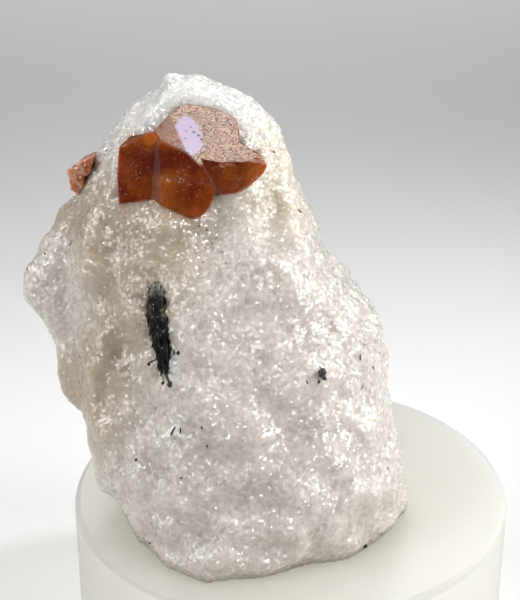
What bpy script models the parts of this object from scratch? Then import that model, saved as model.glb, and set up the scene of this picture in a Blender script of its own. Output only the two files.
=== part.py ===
"""Stillwellite crystals in a piece of quartz that stands on a clear round display base.

Run with: blender --background --python part.py
Metres, +Z up. The origin is the centre of the base's underside. The specimen's front faces -Y.
"""

import itertools
import math
import random

import bmesh
import bpy
from mathutils import Matrix, Vector

MM = 0.001

# Clearance left between pieces that touch
GAP = 0.3

# Clear round base, a slice of 1 1/2 inch rod
BASE_RADIUS = 19.05
BASE_HEIGHT = 19.0
BASE_CHAMFER = 0.5
BASE_SIDES = 72

# The quartz leans back: the middle of its thickness moves this far towards +Y for each millimetre of height
LEAN = math.tan(math.radians(20))
FOOT_MIDDLE = -5.0
QUARTZ_TOP = 35.5

# Outline of the quartz seen from the front: height above the base's top, and distance right of the base's axis
LEFT_EDGE = (
    (0.0, -14.6), (1.5, -14.4), (2.4, -15.6), (3.1, -16.4), (4.8, -16.8), (7.5, -17.4), (9.0, -18.0),
    (14.0, -18.4), (20.0, -18.8), (24.0, -18.4), (26.5, -17.6), (28.8, -16.7), (30.2, -15.6), (31.2, -15.0),
    (32.7, -13.9), (33.4, -13.4), (34.1, -11.8), (34.7, -11.2), (QUARTZ_TOP, -10.9),
)
RIGHT_EDGE = (
    (0.0, 10.3), (1.6, 10.2), (2.5, 9.8), (5.3, 9.5), (7.5, 8.7), (12.7, 8.0), (15.3, 7.6), (17.5, 6.4),
    (19.3, 4.8), (21.0, 2.9), (22.4, 2.4), (24.1, 2.1), (25.8, 0.9), (28.5, -0.2), (30.2, -0.8), (31.6, -1.2),
    (32.6, -2.0), (33.4, -3.0), (33.9, -4.1), (34.4, -5.8), (35.1, -8.6), (QUARTZ_TOP, -9.8),
)

# Front surface of the quartz, left and right of its ridge: height, and y
FRONT_LEFT = (
    (0.0, -13.6), (5.0, -11.4), (10.0, -9.0), (15.0, -6.7), (20.0, -4.4), (24.0, -2.4), (27.0, -0.7),
    (30.0, 0.9), (32.0, 3.2), (33.5, 5.0), (34.5, 6.4), (QUARTZ_TOP, 7.6),
)
FRONT_RIGHT = (
    (0.0, -14.0), (3.0, -13.6), (8.0, -11.9), (13.0, -9.6), (18.0, -7.0), (21.0, -4.9), (24.0, -2.2),
    (26.5, 0.0), (28.5, 1.2), (30.0, 2.4), (32.0, 4.4), (33.5, 5.8), (34.5, 6.8), (QUARTZ_TOP, 7.6),
)
BACK = (
    (0.0, 8.0), (4.0, 10.4), (12.0, 12.6), (18.0, 13.5), (24.0, 13.6), (29.0, 13.0), (32.0, 11.8), (34.0, 10.2),
    (QUARTZ_TOP, 8.6),
)
# Where the ridge runs: height, and x
RIDGE = (
    (0.0, -8.0), (6.0, -9.3), (12.0, -9.9), (20.0, -10.1), (23.0, -9.3), (25.0, -7.5), (27.0, -5.0), (30.0, -2.5),
    (QUARTZ_TOP, -2.5),
)
RIDGE_WIDTH = 1.4
# The left face turns back beyond LEFT_TURN, and the right face beyond RIGHT_TURN
LEFT_TURN, LEFT_SLOPE = -12.0, 0.25
RIGHT_TURN, RIGHT_SLOPE = 2.7, 0.32

# Front edge of the quartz's underside on the base: x, and y
FOOT_FRONT = (
    (-14.7, -3.7), (-13.3, -10.3), (-12.0, -10.5), (-10.7, -13.1), (-8.6, -14.1), (-7.0, -15.0), (-5.0, -14.2),
    (-1.1, -13.9), (0.6, -11.9), (4.8, -11.8), (6.5, -9.8), (8.4, -7.5), (10.5, -2.1),
)
FOOT_RISE = 4.0

# The thin ledge that stands out on the left, set back from the front
LEDGE_LEFT_EDGE = (
    (8.2, -18.0), (9.1, -19.4), (10.4, -20.0), (12.1, -20.0), (14.2, -20.5), (14.9, -20.7), (17.1, -22.8),
    (17.6, -23.0), (19.1, -23.0), (20.3, -22.2), (22.3, -21.1), (22.6, -20.4), (24.0, -20.1), (25.0, -18.9),
)
LEDGE_ROOT = -13.0
LEDGE_FRONT, LEDGE_BACK = -1.6, 6.5

# Mesh density of the quartz
RING_POINTS = 60
RING_STEP = 0.72
# How square the level outlines are: 1 is round and less is squarer, at the foot and higher up
FOOT_BULGE, SIDE_BULGE, FRONT_BULGE = 0.6, 0.82, 0.7

# Flat broken faces of the quartz, large ones and small ones: their spacing, the most that a face turns, the most
# that it cuts or fills, and the width of the edge between two of them
LARGE_FACES = (5.5, 0.24, 0.9, 0.5)
SMALL_FACES = (2.3, 0.45, 0.4, 0.25)

# Main crystal, corner by corner: x, y and height above the base's top. It grew as a block with a flat
# sloping top, a tongue to the right, a lobe below and a second block to the left.
BLOCK = (
    (-11.3, 2.4, 32.1), (-10.8, 2.8, 32.4), (-9.9, 3.8, 33.2), (-8.9, 4.5, 33.8), (-7.6, 4.3, 33.6),
    (-6.3, 4.0, 33.4), (-5.2, 3.6, 33.1), (-4.6, 3.1, 32.7), (-4.4, 2.5, 32.1), (-4.3, 1.5, 31.3),
    (-4.3, 0.3, 30.3), (-5.9, 0.1, 30.2), (-7.2, 0.4, 30.4), (-8.6, 0.8, 30.8), (-10.3, 1.4, 31.3),
    (-4.3, -0.3, 27.7), (-5.0, -0.4, 27.6), (-5.7, -0.4, 27.5), (-6.1, -0.3, 27.9),
    (-9.5, 5.4, 29.0), (-4.6, 5.0, 29.0), (-8.9, 6.0, 32.8), (-5.2, 5.2, 31.8),
)
TONGUE = (
    (-4.5, 1.6, 31.4), (-3.5, 1.1, 31.0), (-2.5, 0.3, 30.5), (-4.6, 0.2, 30.3), (-2.1, 0.1, 29.9),
    (-2.4, 0.0, 29.2), (-2.9, -0.1, 28.8), (-3.7, -0.2, 28.1), (-4.3, -0.3, 27.7), (-5.0, -0.4, 27.6),
    (-3.0, 3.2, 30.0), (-3.2, 3.4, 28.4), (-4.8, 3.6, 29.5),
)
LOBE = (
    (-10.9, 1.2, 31.7), (-9.5, 0.7, 31.1), (-8.3, 0.6, 30.8), (-7.6, 0.4, 30.4), (-6.2, -0.4, 28.0),
    (-6.9, -0.5, 27.8), (-6.7, -0.9, 26.7), (-7.0, -1.1, 26.3), (-7.5, -1.2, 25.9), (-8.3, -1.3, 25.8),
    (-9.5, -1.0, 26.4), (-10.5, -0.9, 26.8), (-11.3, -0.4, 27.1), (-8.4, -0.9, 27.4),
    (-11.0, 3.5, 30.0), (-7.0, 3.5, 29.5),
    (-8.3, 2.6, 26.6), (-10.8, 2.4, 27.8),
)
LEFT_BLOCK = (
    (-14.1, 1.2, 31.0), (-13.5, 1.3, 31.3), (-12.7, 1.4, 31.5), (-12.1, 1.5, 31.7), (-11.4, 1.7, 32.2),
    (-10.6, 1.3, 31.4), (-14.2, 0.5, 29.0), (-14.1, -0.4, 26.7), (-13.6, -0.4, 26.9), (-12.5, -0.2, 27.3),
    (-11.7, -0.1, 27.5), (-11.2, -0.3, 27.1),
    (-13.4, 4.2, 31.0), (-13.5, 3.0, 27.8), (-9.5, 4.4, 31.4), (-9.5, 3.6, 28.6),
)

# The crystals' faces are free on this side: forward, and a little up
OPEN_WAY = (0.0, -3.0, 1.5)

# Small crystal on the quartz's left edge, in two lumps
SIDE_BAR = (
    (-16.4, 3.0, 29.8), (-16.9, 2.8, 29.6), (-17.5, 2.9, 29.3), (-18.0, 3.0, 28.6), (-17.5, 2.8, 27.7),
    (-16.5, 2.6, 28.6), (-16.3, 5.4, 29.3), (-17.3, 5.6, 28.9), (-17.2, 5.4, 27.9), (-16.2, 5.0, 28.2),
)
SIDE_LUMP = (
    (-17.9, 3.0, 28.7), (-18.3, 2.9, 28.7), (-18.7, 3.2, 28.3), (-18.5, 3.0, 27.6), (-18.3, 2.9, 26.9),
    (-17.8, 3.0, 26.3), (-17.2, 2.6, 27.3), (-17.2, 2.8, 28.6), (-18.2, 5.2, 28.2), (-17.9, 5.4, 27.0),
    (-16.9, 5.0, 27.2), (-16.9, 5.2, 28.4),
)

# Dark aegirine vein on the ridge: height, left and right edge
VEIN = (
    (21.0, -11.4, -10.8), (20.5, -11.6, -10.3), (19.9, -11.6, -10.3), (19.4, -11.7, -10.3), (19.0, -11.7, -10.2),
    (18.6, -11.6, -9.9), (18.2, -11.5, -10.0), (17.4, -11.4, -10.1), (16.9, -11.2, -10.0), (16.4, -11.0, -10.0),
    (15.8, -10.9, -10.1), (15.2, -10.7, -10.2),
)
VEIN_STANDS_OUT = 0.5
VEIN_DEPTH = 1.8
VEIN_END_DEPTH = 1.0
VEIN_SIDES = 10
VEIN_BULGE = 0.6

# Aegirine grain on the right
GRAIN_CENTRE = (2.2, 15.4)
GRAIN_RADII = (0.46, 0.6, 0.6)
GRAIN_CORNERS = 14


def along(rows, at):
    """The second value of the rows at a place between their first values, on straight lines."""
    if at <= rows[0][0]:
        return rows[0][1]
    for (a, low), (b, high) in zip(rows, rows[1:]):
        if at <= b:
            return low + (high - low) * (at - a) / (b - a)
    return rows[-1][1]


def smooth(t):
    """0 to 1 with a soft start and end."""
    t = min(1.0, max(0.0, t))
    return t * t * (3 - 2 * t)


def bulging(share, power):
    """A share from -1 to 1, drawn out towards its ends by a power below 1, which makes a circle squarer."""
    return math.copysign(abs(share) ** power, share)


def quartz_middle(z):
    return FOOT_MIDDLE + LEAN * z


def quartz_front(x, z):
    """The y of the quartz's front surface."""
    left = along(FRONT_LEFT, z) + LEFT_SLOPE * max(0.0, LEFT_TURN - x)
    right = along(FRONT_RIGHT, z) + RIGHT_SLOPE * max(0.0, x - RIGHT_TURN)
    y = left + (right - left) * smooth((x - along(RIDGE, z)) / RIDGE_WIDTH + 0.5)
    return y + (along(FOOT_FRONT, x) - y) * (1 - smooth(z / FOOT_RISE))


def material(name, colour, roughness, metallic=0.0, transmission=0.0, ior=1.5):
    made = bpy.data.materials.new(name)
    made.use_nodes = True
    shader = made.node_tree.nodes["Principled BSDF"]
    shader.inputs["Base Color"].default_value = (*colour, 1.0)
    shader.inputs["Roughness"].default_value = roughness
    shader.inputs["Metallic"].default_value = metallic
    shader.inputs["Transmission Weight"].default_value = transmission
    shader.inputs["IOR"].default_value = ior
    made.diffuse_color = (*colour, 1.0)
    return made


def new_object(name, bm, finish=None):
    """Puts a bmesh, in millimetres above the base's top, in a new object in metres."""
    bmesh.ops.recalc_face_normals(bm, faces=bm.faces)
    mesh = bpy.data.meshes.new(name)
    bm.to_mesh(mesh)
    bm.free()
    mesh.transform(Matrix.Scale(MM, 4))
    made = bpy.data.objects.new(name, mesh)
    made.location.z = BASE_HEIGHT * MM
    bpy.context.scene.collection.objects.link(made)
    if finish:
        mesh.materials.append(finish)
    return made


def lofted(rings):
    """A closed bmesh through rings of points, which all have the same number of points."""
    bm = bmesh.new()
    rows = [[bm.verts.new(p) for p in ring] for ring in rings]
    count = len(rows[0])
    for low, high in zip(rows, rows[1:]):
        for i in range(count):
            j = (i + 1) % count
            bm.faces.new((low[i], low[j], high[j], high[i]))
    bm.faces.new(rows[0])
    bm.faces.new(rows[-1])
    return bm


def hull(corners):
    """A bmesh of the convex solid with these corners."""
    bm = bmesh.new()
    for corner in corners:
        bm.verts.new(corner)
    made = bmesh.ops.convex_hull(bm, input=bm.verts)
    unused = [v for v in made["geom_interior"] if isinstance(v, bmesh.types.BMVert)]
    bmesh.ops.delete(bm, geom=unused, context="VERTS")
    return bm


def quartz_back(x, z):
    """The y of the quartz's back surface: two flat slopes that meet in a rough ridge."""
    ridge = -3.0 - 0.15 * z
    return max(along(BACK, z) - 0.32 * abs(x - ridge), quartz_middle(z) + 0.8)


def quartz_ring(z, left, right, middle, front, back):
    """One level outline of the quartz: round at its left and right edges, on the surfaces given elsewhere."""
    ring = []
    above_foot = smooth(z / FOOT_RISE)
    side_power = FOOT_BULGE + (SIDE_BULGE - FOOT_BULGE) * above_foot
    front_power = FOOT_BULGE + (FRONT_BULGE - FOOT_BULGE) * above_foot
    for i in range(RING_POINTS):
        turn = 2 * math.pi * i / RING_POINTS
        x = (left + right) / 2 + (right - left) / 2 * bulging(math.cos(turn), side_power)
        out = bulging(math.sin(turn), front_power)
        surface = back(x, z) if out > 0 else front(x, z)
        ring.append((x, middle + (surface - middle) * abs(out), z))
    return ring


def heights(low, high, step):
    count = math.ceil((high - low) / step)
    return [low + (high - low) * i / count for i in range(count + 1)]


def spaced_out(verts, spacing, chance):
    """Some of the vertices, about one spacing apart."""
    order = list(verts)
    chance.shuffle(order)
    kept = []
    for v in order:
        reach = spacing * chance.uniform(0.7, 1.2)
        if all((v.co - other.co).length > reach for other in kept):
            kept.append(v)
    return kept


def break_faces(bm, faces, seed):
    """Flattens the surface into broken faces, each turned a little by chance."""
    spacing, tilt, depth, edge = faces
    bm.normal_update()
    chance = random.Random(seed)
    planes = []
    for v in spaced_out(bm.verts, spacing, chance):
        near = [other for other in bm.verts if (other.co - v.co).length < spacing * 0.6]
        centre = sum((other.co for other in near), Vector()) / len(near)
        normal = sum((other.normal for other in near), Vector()).normalized()
        turn = Vector([chance.uniform(-tilt, tilt) for _ in range(3)])
        planes.append((centre, (normal + turn).normalized()))
    moves = []
    for v in bm.verts:
        far = [(centre - v.co).length for centre, _ in planes]
        nearest = min(far)
        share, total = 0.0, 0.0
        for distance, (centre, normal) in zip(far, planes):
            facing = normal.dot(v.normal)
            if distance < nearest + 4 * edge and facing > 0.3:
                weight = math.exp((nearest - distance) / edge)
                cut = (centre - v.co).dot(normal) / facing
                share += weight * max(-depth, min(depth, cut))
                total += weight
        moves.append(v.normal * away_from_outline(v.co) * (share / total if total else 0.0))
    for v, move in zip(bm.verts, moves):
        v.co += move


def away_from_outline(co):
    """0.3 on the outline that the front view shows, 0 on the underside and the narrow top, and 1 further in."""
    left, right = along(LEFT_EDGE, co.z), along(RIGHT_EDGE, co.z)
    inside = min(co.x - left, right - co.x, QUARTZ_TOP - co.z)
    return (0.3 + 0.7 * smooth(inside / 2.0)) * smooth((co.z - GAP) / 2.0) * smooth((right - left - 1.5) / 4.0)


def quartz_body():
    """The main piece of quartz, before the crystals' pockets are cut."""
    levels = heights(GAP, 33.0, RING_STEP) + heights(33.3, QUARTZ_TOP, RING_STEP / 2)
    rings = [
        quartz_ring(z, along(LEFT_EDGE, z), along(RIGHT_EDGE, z), quartz_middle(z), quartz_front, quartz_back)
        for z in levels
    ]
    bm = lofted(rings)
    break_faces(bm, LARGE_FACES, 11)
    break_faces(bm, SMALL_FACES, 12)
    return bm


def quartz_ledge():
    """The thin ledge on the left."""
    rings = []
    for z in heights(LEDGE_LEFT_EDGE[0][0], LEDGE_LEFT_EDGE[-1][0], RING_STEP):
        middle = quartz_middle(z) + 0.8
        ring = quartz_ring(
            z, along(LEDGE_LEFT_EDGE, z), LEDGE_ROOT, middle,
            lambda x, z: middle + LEDGE_FRONT, lambda x, z: middle + LEDGE_BACK - 0.3 * abs(x - LEDGE_ROOT),
        )
        rings.append(ring[::3])
    return lofted(rings)


def join_or_cut(target, other, operation):
    """Joins another object to the target, or cuts it out of the target. The other becomes a guide."""
    change = target.modifiers.new(other.name, "BOOLEAN")
    change.operation = operation
    change.solver = "EXACT"
    change.object = other
    other.hide_render = True
    other.display_type = "WIRE"


def settle(target):
    """Replaces the target's mesh by what its modifiers make of it."""
    bpy.context.view_layer.update()
    shown = target.evaluated_get(bpy.context.evaluated_depsgraph_get())
    mesh = bpy.data.meshes.new_from_object(shown)
    target.modifiers.clear()
    target.data = mesh


def neaten(target):
    """Splits the faces that the cuts left into triangles, and merges points that all but touch."""
    settle(target)
    bm = bmesh.new()
    bm.from_mesh(target.data)
    bmesh.ops.triangulate(bm, faces=bm.faces)
    bmesh.ops.remove_doubles(bm, verts=bm.verts, dist=0.01 * MM)
    bm.to_mesh(target.data)
    bm.free()


def joined(name, lumps, finish):
    """One solid of overlapping convex lumps."""
    first = new_object(name, hull(lumps[0]), finish)
    for i, corners in enumerate(lumps[1:]):
        join_or_cut(first, new_object(f"{name}_lump_{i}", hull(corners)), "UNION")
    settle(first)
    return first


def grown(corners):
    """The corners of a convex lump and the clearance all round it."""
    reach = GAP * 0.85
    steps = [Vector(way) * reach for way in itertools.product((-1, 1), repeat=3)]
    return [Vector(corner) + step for corner in corners for step in steps]


def pockets(name, lumps):
    """Guides that cut the pockets of a piece made of convex lumps, and clear the quartz in front of it."""
    guides = []
    for i, corners in enumerate(lumps):
        near = grown(corners)
        in_front = [corner + Vector(OPEN_WAY) for corner in near]
        guides.append(new_object(f"{name}_pocket_{i}", hull(near + in_front)))
    return guides


def vein(grow=0.0, free=0.0):
    """The aegirine vein: a rough bar that follows the quartz's front. Its pocket grows by the clearance, and is
    free in front."""
    chance = random.Random(5)
    last = len(VEIN) - 1
    rings = []
    for i, (z, left, right) in enumerate(reversed(VEIN)):
        depth = VEIN_END_DEPTH if i in (0, last) else VEIN_DEPTH
        stands_out = VEIN_STANDS_OUT * depth / VEIN_DEPTH
        level = z + grow * ((i == last) - (i == 0))
        ring = []
        for side in range(VEIN_SIDES):
            turn = 2 * math.pi * side / VEIN_SIDES
            rough = chance.uniform(0.85, 1.1)
            x = (left + right) / 2 + ((right - left) / 2 * rough + grow) * bulging(math.cos(turn), VEIN_BULGE)
            y = quartz_front(x, z) - stands_out + depth / 2
            y += (depth / 2 * rough + grow) * bulging(math.sin(turn), VEIN_BULGE)
            if side > VEIN_SIDES / 2:
                y -= free
            ring.append((x, y, level))
        rings.append(ring)
    return lofted(rings)


def grain_corners():
    """Corners of the aegirine grain, a small blocky crystal half sunk in the quartz."""
    chance = random.Random(8)
    x, z = GRAIN_CENTRE
    centre = Vector((x, quartz_front(x, z), z))
    corners = []
    for _ in range(GRAIN_CORNERS):
        way = Vector([chance.gauss(0, 1) for _ in range(3)]).normalized()
        corners.append(centre + Vector([w * r for w, r in zip(way, GRAIN_RADII)]))
    return corners


def base(finish):
    """The clear round base, with a small chamfer round both rims."""
    profile = (
        (BASE_RADIUS - BASE_CHAMFER, 0.0), (BASE_RADIUS, BASE_CHAMFER),
        (BASE_RADIUS, BASE_HEIGHT - BASE_CHAMFER), (BASE_RADIUS - BASE_CHAMFER, BASE_HEIGHT),
    )
    rings = []
    for radius, z in profile:
        turns = [2 * math.pi * i / BASE_SIDES for i in range(BASE_SIDES)]
        rings.append([(radius * math.cos(t), radius * math.sin(t), z) for t in turns])
    made = new_object("acrylic_base", lofted(rings), finish)
    made.location.z = 0.0
    made.data.shade_smooth()
    made.data.set_sharp_from_angle(angle=math.radians(30))
    return made


def main():
    for old in list(bpy.data.objects):
        bpy.data.objects.remove(old)

    white_quartz = material("quartz", (0.78, 0.75, 0.73), 0.35)
    orange_brown = material("stillwellite", (0.35, 0.10, 0.03), 0.25)
    green_black = material("aegirine", (0.01, 0.015, 0.012), 0.3)
    clear = material("acrylic", (0.95, 0.94, 0.9), 0.03, transmission=1.0, ior=1.49)

    base(clear)
    crystal = (BLOCK, TONGUE, LOBE, LEFT_BLOCK)
    side_crystal = (SIDE_BAR, SIDE_LUMP)
    grain = grain_corners()
    joined("stillwellite_crystal", crystal, orange_brown)
    joined("stillwellite_side_crystal", side_crystal, orange_brown)
    new_object("aegirine_vein", vein(), green_black)
    new_object("aegirine_grain", hull(grain), green_black)

    quartz = new_object("quartz_matrix", quartz_body(), white_quartz)
    join_or_cut(quartz, new_object("ledge", quartz_ledge()), "UNION")
    guides = pockets("crystal", crystal) + pockets("side_crystal", side_crystal) + pockets("grain", [grain])
    for guide in [*guides, new_object("vein_pocket", vein(GAP, VEIN_DEPTH))]:
        join_or_cut(quartz, guide, "DIFFERENCE")
    neaten(quartz)


main()
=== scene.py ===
"""The finished look of a stillwellite specimen: crystals in granular quartz on a clear round base.

Laid out as an add-on and run as a script. The frame's solids give every place and size, and the pieces
made here give them their broken, translucent surfaces. Lengths are in metres, and MM turns millimetres into
them."""

import math

import bmesh
import bpy
from bpy.props import FloatProperty, FloatVectorProperty, IntProperty, PointerProperty
from mathutils import Euler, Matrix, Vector, noise
from mathutils.bvhtree import BVHTree


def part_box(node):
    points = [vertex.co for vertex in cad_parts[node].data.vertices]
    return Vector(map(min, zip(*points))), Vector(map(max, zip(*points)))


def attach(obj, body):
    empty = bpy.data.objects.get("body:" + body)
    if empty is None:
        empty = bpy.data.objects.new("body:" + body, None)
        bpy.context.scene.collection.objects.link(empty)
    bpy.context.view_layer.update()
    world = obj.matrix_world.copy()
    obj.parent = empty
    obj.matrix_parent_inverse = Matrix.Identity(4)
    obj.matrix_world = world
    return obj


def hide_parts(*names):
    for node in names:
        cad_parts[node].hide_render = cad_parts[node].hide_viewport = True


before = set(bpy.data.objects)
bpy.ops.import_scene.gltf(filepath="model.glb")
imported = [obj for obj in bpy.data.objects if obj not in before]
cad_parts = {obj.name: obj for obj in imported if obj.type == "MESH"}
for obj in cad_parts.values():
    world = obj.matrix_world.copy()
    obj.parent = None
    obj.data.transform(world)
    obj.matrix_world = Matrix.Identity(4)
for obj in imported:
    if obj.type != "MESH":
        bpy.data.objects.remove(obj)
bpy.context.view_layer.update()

bl_info = {
    "name": "Stillwellite specimen",
    "version": (1, 0, 0),
    "blender": (4, 5, 0),
    "location": "3D View > Sidebar > Specimen",
    "description": "Dresses the solids of a mineral specimen with its natural surfaces",
    "category": "Object",
}

MM = 0.001
PICTURE = (520, 600)
# Size of a pixel of the photograph at the specimen
PIXEL = 0.088 * MM
BASE_LOW, BASE_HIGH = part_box("acrylic_base")
BASE_TOP = BASE_HIGH.z
# Corners that lie closer together than this are one corner
MERGE = 0.001 * MM

# The main crystal's flat top face: a point of it and its normal
TOP_POINT = Vector((0, 0, BASE_TOP + 30.1 * MM))
TOP_NORMAL = Vector((0, -0.82, 1)).normalized()

# Its front edge, by x and y in millimetres: in front of it the crystal is as dark as its front faces
TOP_EDGE = (
    (-12.2, 3.3), (-11.4, 2.4), (-10.6, 1.35), (-9.5, 0.9), (-8.3, 0.6), (-7.5, 0.25), (-6.5, -0.1),
)

# Its smooth patch, by x, y and radius in millimetres, painted pale lilac as a reflection. Left of the line
# that starts at an x and runs back at a slope lies a facet that is turned down by the fall for each
# millimetre.
SMOOTH_PATCH = (-8.7, 1.8, 1.25)
FACET_LINE = (-8.06, 0.533)
FACET_FALL = 0.12

# Spots of colour: x, y and height above the base's top, radius, and half the width of the soft edge, in
# millimetres
LEDGE_WITHOUT_TAN = (-19.5, 2.0, 18.0, 5.0, 1.5)
CREAM_STAIN = (-1.0, 1.5, 28.5, 4.5, 2.5)
ORANGE_STAINS = ((-4.9, -1.5, 27.6, 0.5, 0.6), (-0.9, -4.0, 22.1, 0.1, 0.6))
THIN_PARTS = ((-2.2, 0.0, 29.0, 1.6, 1.2), (-17.4, 2.0, 28.7, 3.0, 1.2), (-7.9, -1.0, 26.3, 0.3, 1.2))
DEEP_PART = (-11.1, 0.0, 30.3, 0.9, 0.9)
BRIGHT_CORNER = (-11.5, 1.7, 31.6, 0.6, 0.2)
WEATHERED_CRYSTAL = (-17.4, 2.0, 28.7, 3.0, 0.5)
GREEN_EDGE = (-9.8, -5.4, 19.8, 0.6, 0.4)

# The tan stain covers the left face, up to where x less half the height above the base is the first of
# these, with a soft edge of the second to either side, and it fades out between two heights, in millimetres.
# Its darker tone is also painted shade of the left face, which is turned from the light, and of the quartz
# under the crystal.
TAN_AND_SHADE_EDGE = (-19.0, 2.5)
TAN_AND_SHADE_TOP = (27.0, 30.0)

# Heights above the base, in millimetres, between which the quartz turns white, partly as painted light on
# its top, and the vein clearer, in grey stripes that are partly painted glints
WHITE_PEAK_AND_PAINTED_LIGHT = (29.0, 33.0)
CLEAR_TIP_AND_GLINTS = (20.4, 21.0)

# How far the vein leans to the left and back for each millimetre of height
VEIN_LEAN = (0.16, -0.45, 0.0)

# Small dark grains: the pixel of the photograph where each one is, its width and height in pixels, and the
# angle in degrees that it is turned to the right of upright
SPECKS = (
    (163, 383, 3, 3.5, 30), (170, 384.5, 5, 6.5, 25), (167.5, 377, 2.2, 12, -25), (149, 364, 3.2, 3.4, 0),
    (152.5, 361, 1.8, 8, 55), (171, 348, 2.5, 5, -40), (174, 352.5, 3, 5, -30), (178, 353, 3, 4.5, 30),
    (365, 546, 4.5, 5, 0), (360, 356.3, 1.6, 8.4, 28), (362.3, 387.1, 1.2, 4.7, 24), (173, 431, 2, 10, 15),
    (180.5, 431, 1.5, 7, -8), (299.5, 211, 2.8, 5.5, -25), (207, 229, 3, 3.5, 40), (199, 226, 1.8, 2.5, 0),
    (212, 243, 2, 2.5, 60), (192, 236, 1.6, 2, 0), (205, 248, 2, 2, 0), (216, 238, 1.6, 3, 30),
    (222, 252, 1.8, 2.4, 80), (196, 253, 1.6, 2.2, 0), (203, 262, 2, 2, 10), (188, 246, 1.4, 2, 0),
    (226, 263, 1.5, 2.5, 45), (71, 243, 1.6, 6, 25), (66, 228, 1.8, 2, 0), (136, 460, 2.4, 3, 0),
    (202, 428, 2, 3, -30), (181, 478, 2, 2, 0), (207, 446, 1.8, 2.6, 40), (150, 543, 2, 3, 20),
    (274, 152, 2.6, 3, 0), (319, 382, 2.4, 3.5, 20), (321, 368, 1.4, 4, -15), (373, 368, 1.6, 4, 5),
    (307, 382, 1.4, 4, -20), (186, 131, 1.4, 1.8, 0), (194, 132, 1.8, 2, 0), (199, 135.5, 2, 2.2, 30),
    (202, 139, 1.6, 2, 60), (205, 133, 1.4, 1.8, 0), (191, 127, 1.2, 1.4, 0), (185, 138, 1, 1.2, 0),
    (158, 287, 2, 2.5, 0), (168, 304, 2, 6, 10), (169.5, 312, 1.8, 5, -5), (166.5, 308, 1.6, 6, 20),
    (152, 284, 1.4, 3, 40), (163, 286, 1.2, 2, 0),
)


def colour(code):
    """An sRGB hex value as linear red, green and blue."""
    channels = [int(code[i:i + 2], 16) / 255 for i in (1, 3, 5)]
    return tuple(c / 12.92 if c <= 0.04045 else ((c + 0.055) / 1.055) ** 2.4 for c in channels)


def length(name, description, default):
    """A size property in metres."""
    return FloatProperty(name=name, description=description, default=default, precision=5,
                         subtype="DISTANCE", unit="LENGTH")


def tint(name, description, code):
    """A colour property."""
    return FloatVectorProperty(name=name, description=description, default=colour(code), subtype="COLOR",
                               min=0, max=1)


class QuartzSettings(bpy.types.PropertyGroup):
    """Sizes and colours of the quartz."""

    mesh_step: length("Mesh step", "Edge length of the fine surface", 0.215 * MM)
    smoothing: IntProperty(name="Smoothing", description="Rounds that take the solid's flat faces away",
                           default=55, min=0)
    block_size: length("Block size", "Width of the larger broken faces", 2.4 * MM)
    block_depth: length("Block depth", "Relief of the larger broken faces", 0.3 * MM)
    grain_size: length("Grain size", "Width of the quartz grains", 0.8 * MM)
    grain_depth: length("Grain depth", "Relief of the quartz grains", 0.09 * MM)
    glint_size: length("Glint size", "Width of the small faces that catch the light", 0.2 * MM)
    body: tint("Body", "Grey white of most of the quartz", "#E5DED6")
    shade: tint("Shade", "Greyer, clearer grains that show depth", "#BBB3AC")
    # Its darker tone is also painted shade of the left face and of the quartz under the crystal
    tan: tint("Tan", "Warmer stain on the left face", "#B6A58F")
    cream: tint("Cream", "Cream stain beside the crystal", "#DFD4C2")
    # Sugary white of the peak, whose whiteness also stands in as painted light on the top
    white: tint("White", "Whiter quartz of the peak", "#FAF8F5")
    glow: tint("Glow", "Quartz that the crystal colours where they meet", "#B9784E")


class CrystalSettings(bpy.types.PropertyGroup):
    """Sizes and colours of the stillwellite."""

    mesh_step: length("Mesh step", "Edge length of the fine surface", 0.085 * MM)
    smoothing: IntProperty(name="Smoothing", description="Rounds that soften the main crystal's edges",
                           default=3, min=0)
    groove_size: length("Groove size", "Spacing of the etched grooves on the top face", 0.3 * MM)
    groove_depth: length("Groove depth", "Depth of the etched grooves", 0.05 * MM)
    deep: tint("Deep", "Colour of the thick parts", "#5E1B04")
    light: tint("Light", "Colour of the thin parts", "#A25615")
    # The top face's colours stand partly for light: the etched part is pale partly as a painted reflection
    # of light from above, and the smooth patch's lilac is a painted reflection.
    etched: tint("Etched", "Colour of the etched top face", "#D3B5A2")
    painted_reflection: tint("Film", "Colour of the smooth patch on the top face", "#D2C2D8")


class AegirineSettings(bpy.types.PropertyGroup):
    """Sizes and colours of the aegirine."""

    mesh_step: length("Mesh step", "Edge length of the fine surface", 0.12 * MM)
    needle_length: length("Needle length", "Length of the needles on the vein", 0.9 * MM)
    needle_width: length("Needle width", "Width of the needles on the vein", 0.1 * MM)
    needles: IntProperty(name="Needles", description="Needles on the vein", default=900, min=1)
    dark: tint("Dark", "Green black of the mineral", "#060906")
    fringe: tint("Fringe", "Yellow green of the vein's thin edge", "#8F8B58")
    # At the top of the vein this grey is laid in stripes that are partly painted glints
    clear: tint("Clear", "Clearer prisms at the top of the vein", "#9A9A92")


class BaseSettings(bpy.types.PropertyGroup):
    """Sizes and colour of the clear base."""

    bevel: length("Bevel", "Width of the polished bevel round both rims", 0.5 * MM)
    sides: IntProperty(name="Sides", description="Steps round the turned disc", default=192, min=24)
    clear: tint("Clear", "Colour of the clear plastic", "#FEF8EB")


class StageSettings(bpy.types.PropertyGroup):
    """Camera and paper."""

    camera: FloatVectorProperty(name="Camera", description="Place of the camera", subtype="XYZ",
                                unit="LENGTH", default=(-2.69 * MM, -102.25 * MM, 83.94 * MM))
    pitch: FloatProperty(name="Pitch", description="How far down the camera looks", subtype="ANGLE",
                         unit="ROTATION", default=math.radians(24.6))
    lens: FloatProperty(name="Lens", description="Focal length in millimetres", default=80.82, min=1)
    paper: tint("Paper", "Floor and backdrop", "#E4E4E3")


# Node and mesh helpers

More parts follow.
